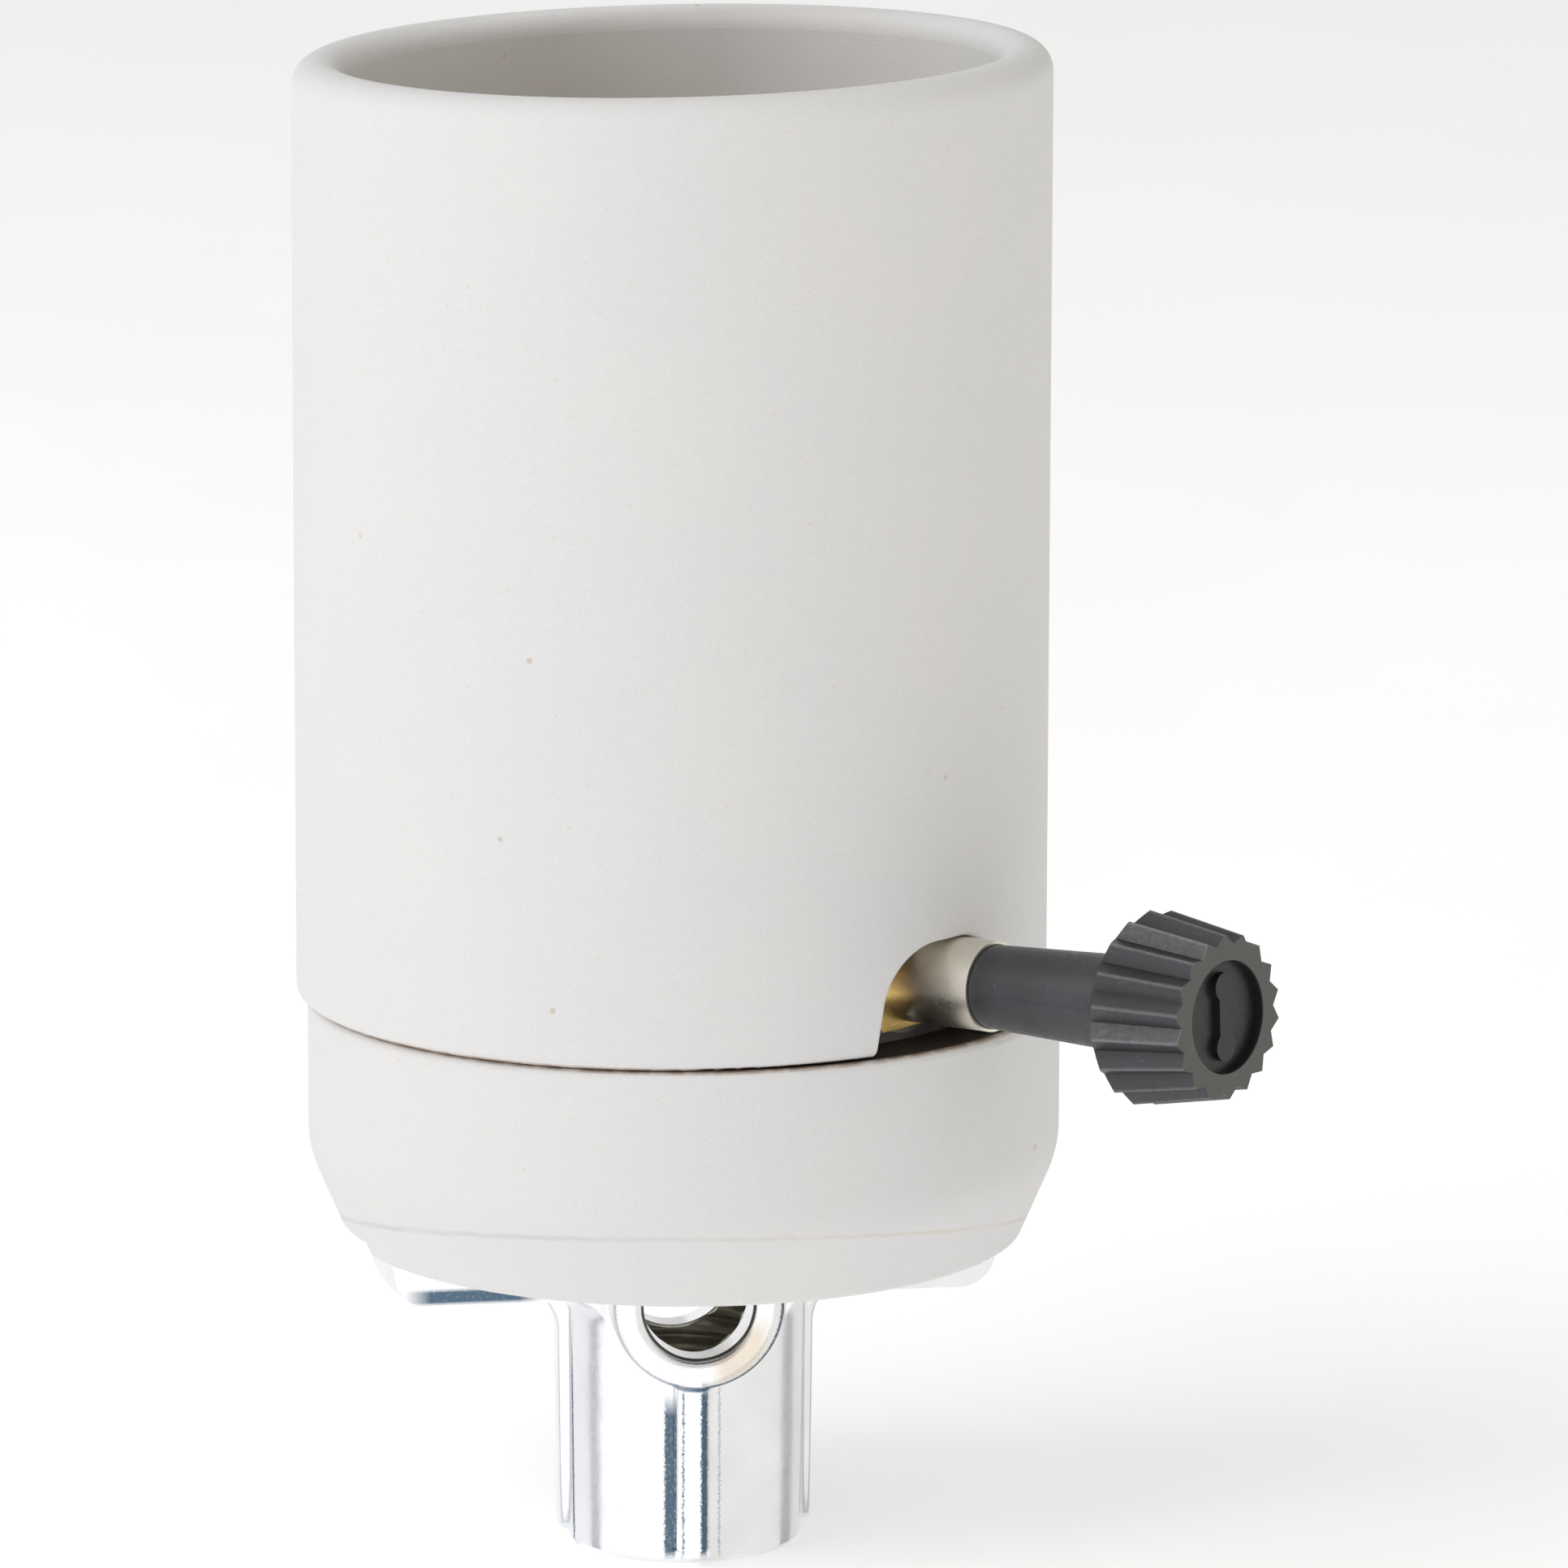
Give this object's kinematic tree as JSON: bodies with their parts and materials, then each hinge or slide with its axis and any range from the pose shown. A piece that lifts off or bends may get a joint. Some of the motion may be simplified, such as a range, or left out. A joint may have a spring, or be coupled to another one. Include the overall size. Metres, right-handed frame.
{
  "type": "porcelain heat lamp socket",
  "caption": "Cylindrical porcelain lamp socket with a screw-shell mouth, a side turn-knob switch and a ribbed cast cap with a pipe-threaded neck.",
  "frame": {"origin": "centre of the neck's lower end, at the mouth of the pipe thread", "axes": "+Z from the pipe thread to the lamp mouth; the cap's arms lie along X and its wire windows face along Y; the knob points 50 degrees clockwise of +X seen from above"},
  "size_m": [0.0638, 0.0695, 0.1089],
  "materials": {
    "porcelain": "matte unglazed",
    "cast_aluminium": "bright die-cast",
    "plated_steel": "zinc plated",
    "spring_steel": "blued",
    "brass": "rolled",
    "lamp_shell_brass": "drawn and lightly plated",
    "bronze_leaf": "rolled",
    "nickel_plate": "nickel plate",
    "fibre": "vulcanised fibre",
    "moulded_phenolic": "moulded",
    "knob_plastic": "satin"
  },
  "bodies": {
    "socket": {"upper_shell": "porcelain", "base_body": "porcelain", "cap": "cast_aluminium", "cap_set_screw": "plated_steel", "assembly_screws": "plated_steel", "assembly_nuts": "plated_steel", "insulating_disc": "fibre", "screw_shell": "lamp_shell_brass", "shell_screws": "nickel_plate", "shell_screw_nut": "brass", "contact_barrel": "brass", "contact_spring": "spring_steel", "load_contact": "bronze_leaf", "line_terminal": "brass", "line_terminal_screw": "brass", "line_terminal_fixing": "brass", "line_contact": "bronze_leaf", "line_contact_rivet": "brass", "neutral_terminal": "nickel_plate", "neutral_terminal_screw": "nickel_plate", "switch_frame": "brass", "frame_screws": "plated_steel", "spindle_bushing": "nickel_plate", "index_spring": "spring_steel"},
    "switch": {"turn_knob": "knob_plastic", "spindle": "brass", "spindle_clip": "spring_steel", "rotor": "moulded_phenolic", "rotor_contact": "bronze_leaf"},
    "plunger": {"centre_contact": "nickel_plate", "contact_retainer": "spring_steel"}
  },
  "joints": [
    {"name": "knob_turn", "type": "hinge", "parent": "socket", "child": "switch", "pos_m": [-0.0009, 0, 0.0437], "axis": [0.6422, -0.7653, 0.0436], "continuous": true},
    {"name": "contact_press", "type": "slide", "parent": "socket", "child": "plunger", "axis": [0, 0, -1], "range_m": [0, 0.0025], "stiffness_N_per_m": 1500, "springref_m": -0.0008, "deforming": ["contact_spring"]}
  ]
}
